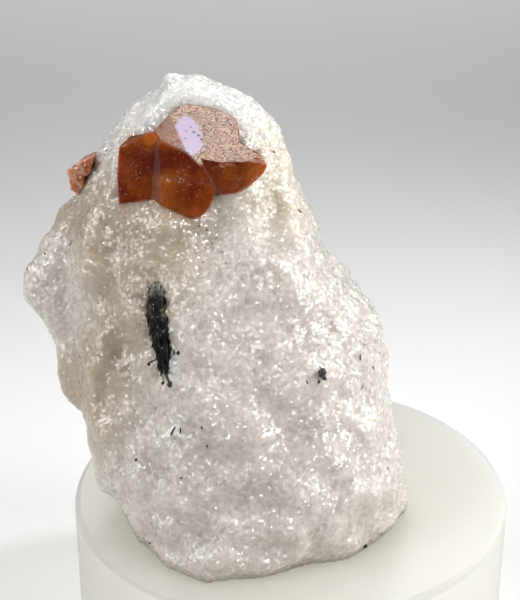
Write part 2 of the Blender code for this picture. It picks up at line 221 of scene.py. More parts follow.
def add(tree, kind, settings=(), inputs=()):
    """Adds a node. An input is given a value, or another node's output to link."""
    node = tree.nodes.new(kind)
    for name, value in dict(settings).items():
        setattr(node, name, value)
    for name, value in dict(inputs).items():
        socket = node.inputs[name]
        if isinstance(value, bpy.types.NodeSocket):
            tree.links.new(value, socket)
        else:
            socket.default_value = value
    return node


def new_material(name, base, **values):
    """A material with one Principled shader. Values name its sockets, with _ for a space."""
    made = bpy.data.materials.new(name)
    made.use_nodes = True
    shader = made.node_tree.nodes["Principled BSDF"]
    shader.inputs["Base Color"].default_value = (*base, 1)
    for key, value in values.items():
        shader.inputs[key.replace("_", " ")].default_value = value
    return made, made.node_tree, shader


def settle(piece):
    """Replaces the piece's mesh by what its modifiers make of it, as a plain mesh."""
    bpy.context.view_layer.update()
    shown = piece.evaluated_get(bpy.context.evaluated_depsgraph_get())
    mesh = bpy.data.meshes.new_from_object(shown)
    piece.modifiers.clear()
    piece.data = mesh
    return piece


def new_piece(name, mesh):
    """An object with this mesh, in the scene."""
    piece = bpy.data.objects.new(name, mesh)
    bpy.context.scene.collection.objects.link(piece)
    return piece


def merged_copy(name, node):
    """A piece with a copy of a solid's mesh, its loose triangles merged."""
    bm = bmesh.new()
    bm.from_mesh(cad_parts[node].data)
    bmesh.ops.remove_doubles(bm, verts=bm.verts, dist=MERGE)
    mesh = bpy.data.meshes.new(name)
    bm.to_mesh(mesh)
    bm.free()
    mesh.materials.clear()
    return new_piece(name, mesh)


def refined_copy(name, node, step, rounds=0):
    """A piece with the solid's form in small even faces, smoothed by this many rounds."""
    piece = merged_copy(name, node)
    remesh = piece.modifiers.new("even faces", "REMESH")
    remesh.mode = "VOXEL"
    remesh.voxel_size = step
    remesh.use_smooth_shade = True
    if rounds:
        worn = piece.modifiers.new("worn edges", "SMOOTH")
        worn.factor = 0.5
        worn.iterations = rounds
    return settle(piece)


def finish(piece, material, slot, *nodes):
    """Gives a piece its material, sets it under the root body, and hides the solids that it takes the place
    of.
    """
    piece.data.materials.clear()
    piece.data.materials.append(material)
    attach(piece, "root")
    if nodes:
        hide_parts(*nodes)


def surface_of(piece):
    """The piece's surface, to cast rays at and to find the nearest point of."""
    bm = bmesh.new()
    bm.from_mesh(piece.data)
    tree = BVHTree.FromBMesh(bm)
    bm.free()
    return tree


def ramp(value, start, width):
    """0 up to the start, then a soft rise to 1 over the width."""
    t = min(1.0, max(0.0, (value - start) / width))
    return t * t * (3 - 2 * t)


def geometry_tree(name, sockets):
    """A Geometry Nodes tree with a geometry going in and out, and its other inputs by name and kind."""
    tree = bpy.data.node_groups.new(name, "GeometryNodeTree")
    tree.interface.new_socket("Geometry", in_out="INPUT", socket_type="NodeSocketGeometry")
    for label, kind in sockets:
        tree.interface.new_socket(label, in_out="INPUT", socket_type=kind)
    tree.interface.new_socket("Geometry", in_out="OUTPUT", socket_type="NodeSocketGeometry")
    return tree, tree.nodes.new("NodeGroupInput").outputs


def end_tree(tree, geometry, material):
    """Ends a tree in Realize Instances and Set Material."""
    real = add(tree, "GeometryNodeRealizeInstances", {}, {"Geometry": geometry})
    dressed = add(tree, "GeometryNodeSetMaterial", {}, {"Geometry": real.outputs[0], "Material": material})
    add(tree, "NodeGroupOutput", {}, {"Geometry": dressed.outputs[0]})


def run_tree(piece, tree, values):
    """Runs a Geometry Nodes tree on a piece, with values by input name, and keeps the result."""
    change = piece.modifiers.new(tree.name, "NODES")
    change.node_group = tree
    for item in tree.interface.items_tree:
        if item.in_out == "INPUT" and item.name in values:
            change[item.identifier] = values[item.name]
    return settle(piece)


# Patterns

def patch(tree, place, spot):
    """1 inside a spot of colour and 0 outside it, with a soft edge."""
    x, y, up, radius, edge = spot
    centre = (x * MM, y * MM, BASE_TOP + up * MM)
    far = add(tree, "ShaderNodeVectorMath", {"operation": "DISTANCE"}, {0: place, 1: centre})
    return add(tree, "ShaderNodeMapRange", {"interpolation_type": "SMOOTHSTEP"}, {
        "Value": far.outputs["Value"], "From Min": (radius - edge) * MM, "From Max": (radius + edge) * MM,
        "To Min": 1.0, "To Max": 0.0}).outputs[0]


def cluster(tree, place, scale, low, high, least, most):
    """A value that wanders from least to most in patches."""
    clouds = add(tree, "ShaderNodeTexNoise", {}, {
        "Vector": place, "Scale": scale, "Detail": 4.0, "Roughness": 0.6})
    return add(tree, "ShaderNodeMapRange", {}, {
        "Value": clouds.outputs["Fac"], "From Min": low, "From Max": high, "To Min": least,
        "To Max": most}).outputs[0]


def thin_lines(tree, value, spacing, width):
    """1 along the lines where a value passes a multiple of twice the spacing, and 0 beyond the width."""
    far = add(tree, "ShaderNodeMath", {"operation": "PINGPONG"}, {0: value, 1: spacing}).outputs[0]
    return add(tree, "ShaderNodeMapRange", {}, {
        "Value": far, "From Min": 0.0, "From Max": width, "To Min": 1.0, "To Max": 0.0}).outputs[0]


def faceted_normal(tree, place, size, strength, normal=None):
    """Normals of small flat faces, each with its own way of facing."""
    small = add(tree, "ShaderNodeTexVoronoi", {}, {"Vector": place, "Scale": 1 / size})
    way = add(tree, "ShaderNodeVectorMath", {"operation": "SUBTRACT"},
              {0: small.outputs["Color"], 1: (0.5, 0.5, 0.5)}).outputs[0]
    turn = add(tree, "ShaderNodeVectorMath", {"operation": "SCALE"}, {0: way, "Scale": strength}).outputs[0]
    normal = normal or add(tree, "ShaderNodeNewGeometry").outputs["Normal"]
    facing = add(tree, "ShaderNodeVectorMath", {"operation": "ADD"}, {0: normal, 1: turn}).outputs[0]
    return add(tree, "ShaderNodeVectorMath", {"operation": "NORMALIZE"}, {0: facing}).outputs[0]


def faceted_height(tree, place, size, depth):
    """Height of closely set crystals: points that slope down in flat faces to where they meet."""
    scale = add(tree, "ShaderNodeMath", {"operation": "DIVIDE"}, {0: 1.0, 1: size}).outputs[0]
    far = add(tree, "ShaderNodeTexVoronoi", {"distance": "MANHATTAN"}, {"Vector": place, "Scale": scale})
    up = add(tree, "ShaderNodeMath", {"operation": "SUBTRACT"}, {0: 0.55, 1: far.outputs["Distance"]})
    return add(tree, "ShaderNodeMath", {"operation": "MULTIPLY"}, {0: up.outputs[0], 1: depth}).outputs[0]


def layered(tree, paint, layers):
    """A paint with colours laid over it one after the other, each where its share is high."""
    for share, tone in layers:
        paint = add(tree, "ShaderNodeMix", {"data_type": "RGBA"}, {0: share, 6: paint, 7: tone}).outputs[2]
    return paint


# Quartz

def close_gaps(piece, neighbours, reach, inset):
    """Draws the quartz up to the crystals that grew in it and down to the base.

    It also writes the attributes relief, 0 where the quartz meets them and 1 away from them, and glow, 1
    beside the first of them."""
    trees = [surface_of(bpy.data.objects[name]) for name in neighbours]
    mesh = piece.data
    relief = mesh.attributes.new("relief", "FLOAT", "POINT")
    glow = mesh.attributes.new("glow", "FLOAT", "POINT")
    for v in mesh.vertices:
        keep = ramp(v.co.z - BASE_TOP, 0.5 * MM, 1.2 * MM)
        for tree in trees:
            point, normal, _, far = tree.find_nearest(v.co, 1.2 * MM)
            if point is None:
                continue
            if tree is trees[0]:
                glow.data[v.index].value = 1 - ramp(far, 0.2 * MM, 0.8 * MM)
            keep = min(keep, ramp(far, 0.3 * MM, 0.9 * MM))
            v.co = v.co.lerp(point - normal * inset, 1 - ramp(far, reach, reach))
        if v.co.z < BASE_TOP + reach:
            v.co.z = BASE_TOP + 0.02 * MM
        relief.data[v.index].value = keep


def relief_tree(material):
    """Broken faces and grains, pushed out along the surface where the attribute relief allows."""
    tree, given = geometry_tree("broken_quartz", (
        ("Block Size", "NodeSocketFloat"), ("Block Depth", "NodeSocketFloat"),
        ("Grain Size", "NodeSocketFloat"), ("Grain Depth", "NodeSocketFloat"),
    ))
    place = add(tree, "GeometryNodeInputPosition").outputs[0]
    wander = add(tree, "ShaderNodeTexNoise", {}, {"Vector": place, "Scale": 380.0, "Detail": 3.0})
    wander = add(tree, "ShaderNodeVectorMath", {"operation": "SUBTRACT"},
                 {0: wander.outputs["Color"], 1: (0.5, 0.5, 0.5)}).outputs[0]
    wander = add(tree, "ShaderNodeVectorMath", {"operation": "SCALE"}, {0: wander, "Scale": 0.9 * MM})
    warped = add(tree, "ShaderNodeVectorMath", {"operation": "ADD"},
                 {0: place, 1: wander.outputs[0]}).outputs[0]
    turned = add(tree, "ShaderNodeVectorRotate", {"rotation_type": "EULER_XYZ"}, {
        "Vector": warped, "Rotation": (0.6, 0.4, 0.9)}).outputs[0]
    blocks = faceted_height(tree, warped, given["Block Size"], given["Block Depth"])
    grains = faceted_height(tree, turned, given["Grain Size"], given["Grain Depth"])
    total = add(tree, "ShaderNodeMath", {"operation": "ADD"}, {0: blocks, 1: grains}).outputs[0]
    hold = add(tree, "GeometryNodeInputNamedAttribute", {"data_type": "FLOAT"}, {"Name": "relief"})
    total = add(tree, "ShaderNodeMath", {"operation": "MULTIPLY"},
                {0: total, 1: hold.outputs["Attribute"]}).outputs[0]
    normal = add(tree, "GeometryNodeInputNormal").outputs[0]
    push = add(tree, "ShaderNodeVectorMath", {"operation": "SCALE"}, {0: normal, "Scale": total}).outputs[0]
    moved = add(tree, "GeometryNodeSetPosition", {}, {"Geometry": given["Geometry"], "Offset": push})
    end_tree(tree, moved.outputs[0], material)
    return tree


def tan_and_shade_share(tree, place, up):
    """1 on the warm left face of the quartz, whose stain is also painted shade, and 0 elsewhere."""
    edge, fade = (value * MM for value in TAN_AND_SHADE_EDGE)
    edge -= 0.5 * BASE_TOP
    across = add(tree, "ShaderNodeVectorMath", {"operation": "DOT_PRODUCT"}, {0: place, 1: (1.0, 0.0, -0.5)})
    left = add(tree, "ShaderNodeMapRange", {"interpolation_type": "SMOOTHSTEP"}, {
        "Value": across.outputs["Value"], "From Min": edge - fade, "From Max": edge + fade,
        "To Min": 0.85, "To Max": 0.0}).outputs[0]
    low = add(tree, "ShaderNodeMapRange", {"interpolation_type": "SMOOTHSTEP"}, {
        "Value": up, "From Min": BASE_TOP + TAN_AND_SHADE_TOP[0] * MM, "From Max": BASE_TOP + TAN_AND_SHADE_TOP[1] * MM,
        "To Min": 1.0, "To Max": 0.0}).outputs[0]
    left = add(tree, "ShaderNodeMath", {"operation": "MULTIPLY"}, {0: left, 1: low}).outputs[0]
    beside = patch(tree, place, LEDGE_WITHOUT_TAN)
    return add(tree, "ShaderNodeMath", {"operation": "SUBTRACT", "use_clamp": True},
               {0: left, 1: beside}).outputs[0]


def quartz_material(s):
    """Granular quartz, broken: milky and translucent, so light spreads inside it, and glassy on its many
    small grain faces, which catch the light here and there."""
    made, tree, shader = new_material(
        "quartz_granular_broken", s.body, Roughness=0.35, IOR=1.544, Subsurface_Weight=0.8,
        Subsurface_Radius=(1.0, 0.95, 0.9), Subsurface_Scale=3.0 * MM, Transmission_Weight=0.2,
        Coat_Weight=1.0, Coat_Roughness=0.11, Coat_IOR=1.544,
    )
    place = add(tree, "ShaderNodeTexCoord").outputs["Object"]
    up = add(tree, "ShaderNodeSeparateXYZ", {}, {"Vector": place}).outputs["Z"]
    body, shade, tan, cream, glow, white = (
        (*c, 1) for c in (s.body, s.shade, s.tan, s.cream, s.glow, s.white))

    # Milky and clearer grains, in clouds
    grains = add(tree, "ShaderNodeTexVoronoi", {}, {"Vector": place, "Scale": 0.7 / s.glint_size})
    own = add(tree, "ShaderNodeSeparateXYZ", {}, {"Vector": grains.outputs["Color"]}).outputs["X"]
    cloudy = cluster(tree, place, 330.0, 0.35, 0.65, 0.2, 0.7)
    fine = cluster(tree, place, 1900.0, 0.3, 0.7, -0.1, 0.5)
    grey = add(tree, "ShaderNodeMath", {"operation": "MULTIPLY_ADD", "use_clamp": True},
               {0: own, 1: cloudy, 2: fine}).outputs[0]

    # Stains, with painted shade in the tan of the left face, a whiter peak that is partly painted light, and
    # the colour that shines out of the crystal
    # The peak turns whiter, partly as painted light where the top catches the light from above
    high = add(tree, "ShaderNodeMapRange", {}, {
        "Value": up, "From Min": BASE_TOP + WHITE_PEAK_AND_PAINTED_LIGHT[0] * MM, "From Max": BASE_TOP + WHITE_PEAK_AND_PAINTED_LIGHT[1] * MM,
        "To Min": 0.0, "To Max": 0.8}).outputs[0]
    layers = [(grey, shade), (tan_and_shade_share(tree, place, up), tan), (high, white),
              (patch(tree, place, CREAM_STAIN), cream)]
    for spot in ORANGE_STAINS:
        stain = add(tree, "ShaderNodeMath", {"operation": "MULTIPLY"}, {
            0: patch(tree, place, spot), 1: cloudy}).outputs[0]
        layers.append((stain, glow))
    beside = add(tree, "ShaderNodeAttribute", {"attribute_name": "glow"}).outputs["Fac"]
    beside = add(tree, "ShaderNodeMath", {"operation": "MULTIPLY"}, {0: beside, 1: 0.6}).outputs[0]
    layers.append((beside, glow))
    tree.links.new(layered(tree, body, layers), shader.inputs["Base Color"])

    # Uneven grain faces below, and glassy ones that flash on top
    bumps = add(tree, "ShaderNodeTexNoise", {}, {
        "Vector": place, "Scale": 2200.0, "Detail": 3.0, "Roughness": 0.7}).outputs["Fac"]
    uneven = faceted_normal(tree, place, 1.4 * s.glint_size, 0.5)
    rough = add(tree, "ShaderNodeBump", {}, {
        "Strength": 0.5, "Distance": 0.1 * MM, "Height": bumps, "Normal": uneven}).outputs[0]
    tree.links.new(rough, shader.inputs["Normal"])
    sparkle = cluster(tree, place, 420.0, 0.42, 0.62, 0.5, 1.8)
    tree.links.new(faceted_normal(tree, place, s.glint_size, sparkle), shader.inputs["Coat Normal"])
    return made


class SPECIMEN_OT_quartz(bpy.types.Operator):
    """Makes the granular quartz from its solid"""

    bl_idname = "specimen.quartz"
    bl_label = "Quartz"

    def execute(self, context):
        s = context.scene.quartz
        piece = refined_copy("granular_quartz", "quartz_matrix", s.mesh_step, s.smoothing)
        neighbours = ("stillwellite", "stillwellite_side", "aegirine", "aegirine_speck")
        close_gaps(piece, neighbours, 0.5 * MM, 0.05 * MM)
        material = quartz_material(s)
        run_tree(piece, relief_tree(material), {
            "Block Size": s.block_size, "Block Depth": s.block_depth, "Grain Size": s.grain_size,
            "Grain Depth": s.grain_depth,
        })
        finish(piece, material, "quartz", "quartz_matrix")
        return {"FINISHED"}


# Stillwellite

def on_top(v):
    """1 on the main crystal's flat top face, and 0 elsewhere."""
    height = (v.co - TOP_POINT).dot(TOP_NORMAL)
    return (1 - ramp(abs(height), 0.15 * MM, 0.25 * MM)) * ramp(v.normal.dot(TOP_NORMAL), 0.8, 0.1)


def edge_of_top(x):
    """Where the top face's front edge is at this x."""
    if x < TOP_EDGE[0][0]:
        return math.inf
    for (x0, y0), (x1, y1) in zip(TOP_EDGE, TOP_EDGE[1:]):
        if x < x1:
            return y0 + (y1 - y0) * (x - x0) / (x1 - x0)
    return -math.inf


def finish_top(piece):
    """Gives the main crystal's top face its three parts: a facet turned down on the left, a smooth patch
    beside it, and an etched part. The attribute etched says where the etched part is, a second attribute
    where the smooth patch with its painted reflection is, and ledge where other faces don't look to the
    front."""
    mesh = piece.data
    etched = mesh.attributes.new("etched", "FLOAT", "POINT")
    painted_reflection = mesh.attributes.new("painted_reflection", "FLOAT", "POINT")
    ledge = mesh.attributes.new("ledge", "FLOAT", "POINT")
    for v, share in [(v, on_top(v)) for v in mesh.vertices]:
        x, y = v.co.x / MM, v.co.y / MM
        share *= 1 - ramp(edge_of_top(x) - y, 0, 0.15)
        turned = max(v.normal.z, abs(v.normal.x) + 0.26)
        ledge.data[v.index].value = (1 - share) * ramp(turned, 0.5, 0.15)
        if not share:
            continue
        beyond = FACET_LINE[0] - FACET_LINE[1] * y - x
        facet = ramp(beyond, 0, 0.2)
        wobble = noise.fractal(v.co / (0.7 * MM), 0.7, 2.0, 3) * 0.3
        from_patch = math.hypot(x - SMOOTH_PATCH[0], (y - SMOOTH_PATCH[1]) * 0.85) + wobble
        outside = ramp(from_patch, SMOOTH_PATCH[2], 0.2)
        etched.data[v.index].value = share * max(outside * (1 - facet), 0.4 * facet)
        painted_reflection.data[v.index].value = share * (1 - outside) * (1 - facet)
        v.co -= TOP_NORMAL * FACET_FALL * max(0.0, beyond) * share * MM


def roughen(piece, size, depth, seed):
    """Uneven growth faces: soft waves along the surface, but not on the flat top face."""
    shift = Vector((seed, 2 * seed, 3 * seed))
    moves = [
        v.normal * noise.fractal(v.co / size + shift, 0.8, 2.0, 3) * depth * (1 - 0.9 * on_top(v))
        for v in piece.data.vertices
    ]
    for v, move in zip(piece.data.vertices, moves):
        v.co += move


def crystal_material(s):
    """Stillwellite: a translucent glassy crystal, orange where it is thin and red brown where it is deep,
    with fine inner cracks and flecks, and etched grooves on its top face. The top face is painted pale where
    etched, partly as a reflection of light from above, and pale lilac on its smooth patch as a painted
    reflection."""
    made, tree, shader = new_material(
        "stillwellite_crystal_face", s.deep, Roughness=0.16, IOR=1.77, Subsurface_Weight=0.6,
        Subsurface_Radius=(1.0, 0.3, 0.1), Subsurface_Scale=1.6 * MM, Coat_Weight=0.6, Coat_Roughness=0.1,
    )
    place = add(tree, "ShaderNodeTexCoord").outputs["Object"]
    deep, light, pale_and_sheen, painted_reflection = ((*c, 1) for c in (s.deep, s.light, s.etched, s.painted_reflection))

    # Thin and deep parts
    thin = cluster(tree, place, 330.0, 0.4, 0.75, 0.0, 0.9)
    for spot in THIN_PARTS:
        thin = add(tree, "ShaderNodeMath", {"operation": "MAXIMUM"}, {
            0: thin, 1: patch(tree, place, spot)}).outputs[0]
    thin = add(tree, "ShaderNodeMath", {"operation": "SUBTRACT", "use_clamp": True}, {
        0: thin, 1: patch(tree, place, DEEP_PART)}).outputs[0]
    weathered = add(tree, "ShaderNodeMath", {"operation": "MULTIPLY"}, {
        0: patch(tree, place, WEATHERED_CRYSTAL),
        1: cluster(tree, place, 900.0, 0.4, 0.6, 0.0, 0.4)}).outputs[0]

    # Inner flecks, each a ball of its own size in some of the cells
    dots = add(tree, "ShaderNodeTexVoronoi", {}, {"Vector": place, "Scale": 1 / (0.16 * MM)})
    chance = add(tree, "ShaderNodeSeparateXYZ", {}, {"Vector": dots.outputs["Color"]}).outputs["X"]
    size = add(tree, "ShaderNodeMapRange", {}, {
        "Value": chance, "From Min": 0.7, "From Max": 1.0, "To Min": 0.0, "To Max": 0.34}).outputs[0]
    fleck = add(tree, "ShaderNodeMath", {"operation": "LESS_THAN"}, {
        0: dots.outputs["Distance"], 1: size}).outputs[0]
    fleck = add(tree, "ShaderNodeMath", {"operation": "MULTIPLY"}, {
        0: fleck, 1: cluster(tree, place, 420.0, 0.42, 0.6, 0.1, 0.45)}).outputs[0]

    # Inner cracks, drawn wider than they are so that they show
    inner = add(tree, "ShaderNodeTexNoise", {}, {
        "Vector": place, "Scale": 1500.0, "Detail": 3.0, "Distortion": 1.5}).outputs["Fac"]
    crack = add(tree, "ShaderNodeMath", {"operation": "MULTIPLY"}, {
        0: thin_lines(tree, inner, 0.05, 0.005),
        1: cluster(tree, place, 600.0, 0.5, 0.62, 0.0, 0.5)}).outputs[0]

    # Etched grooves, longer from left to right than from front to back
    etched = add(tree, "ShaderNodeAttribute", {"attribute_name": "etched"}).outputs["Fac"]
    painted_reflection_share = add(tree, "ShaderNodeAttribute", {"attribute_name": "painted_reflection"}).outputs["Fac"]
    stretched = add(tree, "ShaderNodeVectorMath", {"operation": "MULTIPLY"}, {0: place, 1: (0.55, 1.0, 1.0)})
    waves = add(tree, "ShaderNodeTexNoise", {}, {
        "Vector": stretched.outputs[0], "Scale": 0.5 / s.groove_size, "Detail": 2.5, "Roughness": 0.6,
        "Distortion": 0.6})
    groove = add(tree, "ShaderNodeMath", {"operation": "MULTIPLY"}, {
        0: thin_lines(tree, waves.outputs["Fac"], 0.055, 0.035), 1: etched}).outputs[0]

    # The etched top is painted pale, partly as a reflection of light from above, and the smooth patch pale
    # lilac as a painted reflection.
    paint = layered(tree, deep, (
        (thin, light), (patch(tree, place, BRIGHT_CORNER), light), (weathered, pale_and_sheen), (fleck, pale_and_sheen),
        (crack, pale_and_sheen), (etched, pale_and_sheen), (groove, deep), (painted_reflection_share, painted_reflection),
    ))
    tree.links.new(paint, shader.inputs["Base Color"])

    # Etched parts and ledges are duller than the front faces. Small ledges above those are also as dark as
    # they are, because quartz stands right behind them, so they are shaded as if they looked to the front.
    ledge = add(tree, "ShaderNodeAttribute", {"attribute_name": "ledge"}).outputs["Fac"]
    rough = add(tree, "ShaderNodeMath", {"operation": "MULTIPLY_ADD"}, {
        0: etched, 1: 0.25, 2: shader.inputs["Roughness"].default_value}).outputs[0]
    rough = add(tree, "ShaderNodeMath", {"operation": "MULTIPLY_ADD"}, {
        0: ledge, 1: 0.4, 2: rough}).outputs[0]
    tree.links.new(rough, shader.inputs["Roughness"])
    upright = add(tree, "ShaderNodeMix", {"data_type": "VECTOR"}, {
        0: ledge, 4: add(tree, "ShaderNodeNewGeometry").outputs["Normal"], 5: (0.0, -0.97, 0.24)}).outputs[1]
    upright = add(tree, "ShaderNodeVectorMath", {"operation": "NORMALIZE"}, {0: upright}).outputs[0]
    height = add(tree, "ShaderNodeMath", {"operation": "MULTIPLY"}, {0: groove, 1: -1.0}).outputs[0]
    dent = add(tree, "ShaderNodeBump", {}, {
        "Distance": s.groove_depth, "Height": height, "Normal": upright}).outputs[0]
    tree.links.new(dent, shader.inputs["Normal"])
    sparkle = cluster(tree, place, 500.0, 0.5, 0.66, 0.0, 1.2)
    glassy = faceted_normal(tree, place, 0.13 * MM, sparkle, upright)
    tree.links.new(glassy, shader.inputs["Coat Normal"])
    return made


class SPECIMEN_OT_crystals(bpy.types.Operator):
    """Makes the stillwellite crystals from their solids"""

    bl_idname = "specimen.crystals"
    bl_label = "Stillwellite crystals"

    def execute(self, context):
        s = context.scene.crystals
        material = crystal_material(s)
        main = refined_copy("stillwellite", "stillwellite_crystal", s.mesh_step, s.smoothing)
        side = refined_copy("stillwellite_side", "stillwellite_side_crystal", s.mesh_step)
        roughen(main, 1.4 * MM, 0.05 * MM, 1)
        roughen(side, 0.7 * MM, 0.12 * MM, 2)
        finish_top(main)
        finish(main, material, "stillwellite", "stillwellite_crystal")
        finish(side, material, "stillwellite", "stillwellite_side_crystal")
        return {"FINISHED"}


# Aegirine

def aegirine_material(name, s):
    """Aegirine: nearly black prisms with a dull glassy shine, yellow green at the vein's thin edge, and
    clearer grey in stripes at its top, partly as painted glints."""
    made, tree, shader = new_material(name, s.dark, Roughness=0.42, IOR=1.78, Specular_IOR_Level=0.3)
    place = add(tree, "ShaderNodeTexCoord").outputs["Object"]
    dark, fringe, clear = ((*c, 1) for c in (s.dark, s.fringe, s.clear))
    up = add(tree, "ShaderNodeSeparateXYZ", {}, {"Vector": place}).outputs["Z"]
    top = add(tree, "ShaderNodeMapRange", {}, {
        "Value": up, "From Min": BASE_TOP + CLEAR_TIP_AND_GLINTS[0] * MM, "From Max": BASE_TOP + CLEAR_TIP_AND_GLINTS[1] * MM,
        "To Min": 0.0, "To Max": 0.9}).outputs[0]
    # Grey stripes at the top: clearer prisms, and painted glints along them
    glint_stripes = cluster(tree, place, 3000.0, 0.45, 0.55, 0.3, 1.0)
    glassy = add(tree, "ShaderNodeMath", {"operation": "MULTIPLY"}, {0: top, 1: glint_stripes}).outputs[0]
    paint = layered(tree, dark, ((patch(tree, place, GREEN_EDGE), fringe), (glassy, clear)))
    tree.links.new(paint, shader.inputs["Base Color"])
    return made


def needle_tree(material):
    """Six-sided needles that lie over a surface, more or less along the vein."""
    tree, given = geometry_tree("aegirine_needles", (
        ("Density", "NodeSocketFloat"), ("Needle Length", "NodeSocketFloat"),
        ("Needle Width", "NodeSocketFloat"), ("Lean", "NodeSocketVector"),
    ))
    spots = add(tree, "GeometryNodeDistributePointsOnFaces", {}, {
        "Mesh": given["Geometry"], "Density": given["Density"], "Seed": 4})
    way = add(tree, "FunctionNodeRandomValue", {"data_type": "FLOAT_VECTOR"}, {
        "Min": (-0.3, -0.2, 0.8), "Max": (0.34, 0.2, 1.0), "Seed": 1}).outputs[0]
    way = add(tree, "ShaderNodeVectorMath", {"operation": "SUBTRACT"}, {0: way, 1: given["Lean"]}).outputs[0]
    turn = add(tree, "FunctionNodeAlignRotationToVector", {"axis": "Z"}, {"Vector": way}).outputs[0]
    half = add(tree, "ShaderNodeMath", {"operation": "MULTIPLY"}, {
        0: given["Needle Width"], 1: 0.5}).outputs[0]
    needle = add(tree, "GeometryNodeMeshCone", {"fill_type": "NGON"}, {
        "Vertices": 6, "Radius Top": half, "Radius Bottom": half,
        "Depth": given["Needle Length"]}).outputs["Mesh"]
    down = add(tree, "ShaderNodeMath", {"operation": "MULTIPLY"}, {
        0: given["Needle Length"], 1: -0.7}).outputs[0]
    down = add(tree, "ShaderNodeCombineXYZ", {}, {"Z": down}).outputs[0]
    needle = add(tree, "GeometryNodeTransform", {}, {"Geometry": needle, "Translation": down}).outputs[0]
    size = add(tree, "FunctionNodeRandomValue", {"data_type": "FLOAT"}, {
        "Min": 0.5, "Max": 1.2, "Seed": 2}).outputs["Value"]
    placed = add(tree, "GeometryNodeInstanceOnPoints", {}, {
        "Points": spots.outputs["Points"], "Instance": needle, "Rotation": turn, "Scale": size})
    both = add(tree, "GeometryNodeJoinGeometry")
    tree.links.new(given["Geometry"], both.inputs[0])
    tree.links.new(placed.outputs[0], both.inputs[0])
    end_tree(tree, both.outputs[0], material)
    return tree


class SPECIMEN_OT_aegirine(bpy.types.Operator):
    """Makes the aegirine vein and grain from their solids"""

    bl_idname = "specimen.aegirine"
    bl_label = "Aegirine"

    def execute(self, context):
        s = context.scene.aegirine
        material = aegirine_material("aegirine_needles", s)
        pieces = (("aegirine", "aegirine_vein", s.needles), ("aegirine_speck", "aegirine_grain", 0))
        for name, node, needles in pieces:
            piece = refined_copy(name, node, s.mesh_step)
            roughen(piece, 0.6 * MM, 0.22 * MM, 5)
            area = sum(face.area for face in piece.data.polygons)
            run_tree(piece, needle_tree(material), {
                "Density": needles / area, "Needle Length": s.needle_length,
                "Needle Width": s.needle_width, "Lean": VEIN_LEAN,
            })
            finish(piece, material, "aegirine", node)
        return {"FINISHED"}


def camera_ray(s, pixel):
    """Where the camera's line through a pixel of the picture starts, and which way it goes."""
    turn = Euler((math.pi / 2 - s.pitch, 0, 0)).to_matrix()
    focus = s.lens / 36 * max(PICTURE)
    way = Vector((pixel[0] - PICTURE[0] / 2, PICTURE[1] / 2 - pixel[1], -focus))
    return Vector(s.camera), turn @ way.normalized()


def speck_tree(material):
    """Uneven grains on points, each with its own direction and size."""
    tree, given = geometry_tree("dark_grains", ())
    way = add(tree, "GeometryNodeInputNamedAttribute", {"data_type": "FLOAT_VECTOR"}, {"Name": "way"})
    size = add(tree, "GeometryNodeInputNamedAttribute", {"data_type": "FLOAT_VECTOR"}, {"Name": "size"})
    turn = add(tree, "FunctionNodeAlignRotationToVector", {"axis": "Z"}, {"Vector": way.outputs[0]})
    blob = add(tree, "GeometryNodeMeshIcoSphere", {}, {"Radius": 0.5, "Subdivisions": 2}).outputs["Mesh"]
    placed = add(tree, "GeometryNodeInstanceOnPoints", {}, {
        "Points": given["Geometry"], "Instance": blob, "Rotation": turn.outputs[0],
        "Scale": size.outputs[0]})
    real = add(tree, "GeometryNodeRealizeInstances", {}, {"Geometry": placed.outputs[0]}).outputs[0]
    place = add(tree, "GeometryNodeInputPosition").outputs[0]
    wander = add(tree, "ShaderNodeTexNoise", {}, {"Vector": place, "Scale": 4000.0}).outputs["Color"]
    wander = add(tree, "ShaderNodeVectorMath", {"operation": "SUBTRACT"},
                 {0: wander, 1: (0.5, 0.5, 0.5)}).outputs[0]
    wander = add(tree, "ShaderNodeVectorMath", {"operation": "SCALE"}, {0: wander, "Scale": 0.18 * MM})
    moved = add(tree, "GeometryNodeSetPosition", {}, {"Geometry": real, "Offset": wander.outputs[0]})
    end_tree(tree, moved.outputs[0], material)
    return tree


class SPECIMEN_OT_specks(bpy.types.Operator):
    """Sets the small dark grains on the quartz and the crystal, where the photograph shows them"""

    bl_idname = "specimen.specks"
    bl_label = "Dark specks"

    def execute(self, context):
        surfaces = [surface_of(bpy.data.objects[name]) for name in ("granular_quartz", "stillwellite")]
        points, ways, sizes = [], [], []
        for x, y, wide, tall, angle in SPECKS:
            start, way = camera_ray(context.scene.stage, (x, y))
            hits = [hit for hit in (surface.ray_cast(start, way) for surface in surfaces) if hit[0]]
            if not hits:
                raise RuntimeError(f"nothing carries the speck at {x}, {y}")
            hit, normal, _, _ = min(hits, key=lambda hit: hit[3])
            run = Vector((math.sin(math.radians(angle)), 0, math.cos(math.radians(angle))))
            run = (run - normal * run.dot(normal)).normalized()
            points.append(hit)
            ways.append(run)
            sizes.append((wide * PIXEL, wide * PIXEL, tall * PIXEL))
        mesh = bpy.data.meshes.new("dark_specks")
        mesh.from_pydata(points, [], [])
        for name, values in (("way", ways), ("size", sizes)):
            data = mesh.attributes.new(name, "FLOAT_VECTOR", "POINT").data
            for item, value in zip(data, values):
                item.vector = value
        piece = new_piece("dark_specks", mesh)
        material = aegirine_material("aegirine_grains", context.scene.aegirine)
        run_tree(piece, speck_tree(material), {})
        finish(piece, material, "aegirine")
        return {"FINISHED"}


# Clear base

